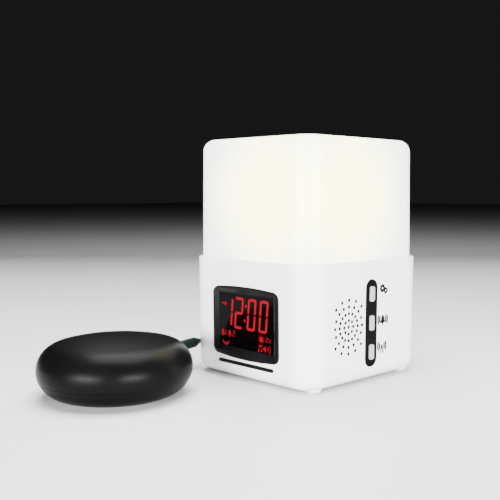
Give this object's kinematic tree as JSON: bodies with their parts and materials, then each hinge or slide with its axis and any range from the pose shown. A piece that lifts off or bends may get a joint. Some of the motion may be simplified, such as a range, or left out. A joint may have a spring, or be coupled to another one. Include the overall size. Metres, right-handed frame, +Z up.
{
  "type": "bed shaker alarm clock",
  "caption": "Square white night-light alarm clock with display, speaker grille and side keys, and a round vibrating pad on a coiled cord that plugs into its back.",
  "frame": {"origin": "on the table, under the middle of the clock's housing", "axes": "+Z up; the display looks along -Y; the keys and the speaker look along +X"},
  "size_m": [0.1364, 0.2819, 0.1523],
  "materials": {
    "housing": "glossy white moulded plastic",
    "gloss_black": "glossy black plastic",
    "strip": "satin black plastic",
    "key": "light grey-white plastic",
    "shade": "frosted white translucent plastic",
    "white_plastic": "white moulded plastic",
    "screen": "dark display glass",
    "backlight": "white light guide",
    "board": "green solder mask",
    "chip": "black epoxy",
    "led": "yellow phosphor",
    "steel": "zinc plated",
    "weight": "sintered metal",
    "magnet": "plated",
    "paper": "black paper cone",
    "foam": "foam",
    "rubber": "matt",
    "foot": "white, matt",
    "knob": "satin black plastic",
    "cord": "soft dark grey-green jacket",
    "cell": "plain printed sleeve",
    "pad": "satin black moulded plastic",
    "capacitor": "sleeved",
    "led_red": "lit red display segments",
    "print": "black printing ink"
  },
  "bodies": {
    "clock": {"front_housing": "housing", "rear_housing": "housing", "feet": "foot", "housing_screws": "steel", "light_shade": "shade", "lamp_tray": "white_plastic", "tray_screws": "steel", "lamp_post": "white_plastic", "post_screws": "steel", "led_boards": "board", "led_chips": "led", "display_bezel": "gloss_black", "lcd_panel": "screen", "backlight": "backlight", "display_board": "board", "display_screws": "steel", "snooze_switch": "chip", "key_strip": "strip", "switch_board": "board", "key_switches": "chip", "switch_board_screws": "steel", "speaker_gasket": "foam", "speaker_frame": "steel", "speaker_cone": "paper", "speaker_magnet": "magnet", "main_board": "board", "main_board_screws": "steel", "board_chips": "chip", "capacitors": "capacitor", "power_jack": "chip", "shaker_jack": "chip", "mode_switch": "steel", "volume_control": "steel", "battery_box": "housing", "battery_contacts": "steel", "batteries": "cell", "pad_top_shell": "pad", "pad_base_shell": "pad", "pad_screws": "steel", "motor_case": "steel", "motor_clamp": "white_plastic", "clamp_screws": "steel", "pad_strain_relief": "cord", "cord_from_pad": "cord", "cord_coil": "cord", "cord_to_plug": "cord", "cord_tie": "rubber", "shaker_plug": "cord", "plug_relief": "cord"},
    "snooze": {"snooze_bar": "gloss_black"},
    "setting": {"setting_key": "key"},
    "alarm": {"alarm_key": "key"},
    "radio": {"radio_key": "key"},
    "slider": {"mode_slider": "knob"},
    "volume": {"volume_knob": "knob"},
    "door": {"battery_door": "housing"},
    "rotor": {"motor_shaft": "steel", "eccentric_weight": "weight"}
  },
  "joints": [
    {"name": "snooze_press", "type": "slide", "parent": "clock", "child": "snooze", "axis": [0, 1, 0.0092], "range_m": [0, 0.0008], "stiffness_N_per_m": 2500},
    {"name": "setting_press", "type": "slide", "parent": "clock", "child": "setting", "axis": [-1, 0, 0.0092], "range_m": [0, 0.0006], "stiffness_N_per_m": 2500},
    {"name": "alarm_press", "type": "slide", "parent": "clock", "child": "alarm", "axis": [-1, 0, 0.0092], "range_m": [0, 0.0006], "stiffness_N_per_m": 2500},
    {"name": "radio_press", "type": "slide", "parent": "clock", "child": "radio", "axis": [-1, 0, 0.0092], "range_m": [0, 0.0006], "stiffness_N_per_m": 2500},
    {"name": "mode_slide", "type": "slide", "parent": "clock", "child": "slider", "axis": [1, 0, 0], "range_m": [-0.002, 0.002]},
    {"name": "volume_turn", "type": "hinge", "parent": "clock", "child": "volume", "pos_m": [0.012, 0.05466, 0.0398], "axis": [0, 1, -0.0092], "range_deg": [-140, 140]},
    {"name": "battery_door_hinge", "type": "hinge", "parent": "clock", "child": "door", "pos_m": [0, 0.0076, 0.0008], "axis": [-1, 0, 0], "range_deg": [0, 35]},
    {"name": "motor_spin", "type": "hinge", "parent": "clock", "child": "rotor", "pos_m": [-0.03509, -0.12499, 0.016], "axis": [-0.2974, 0.9548, 0], "continuous": true}
  ]
}
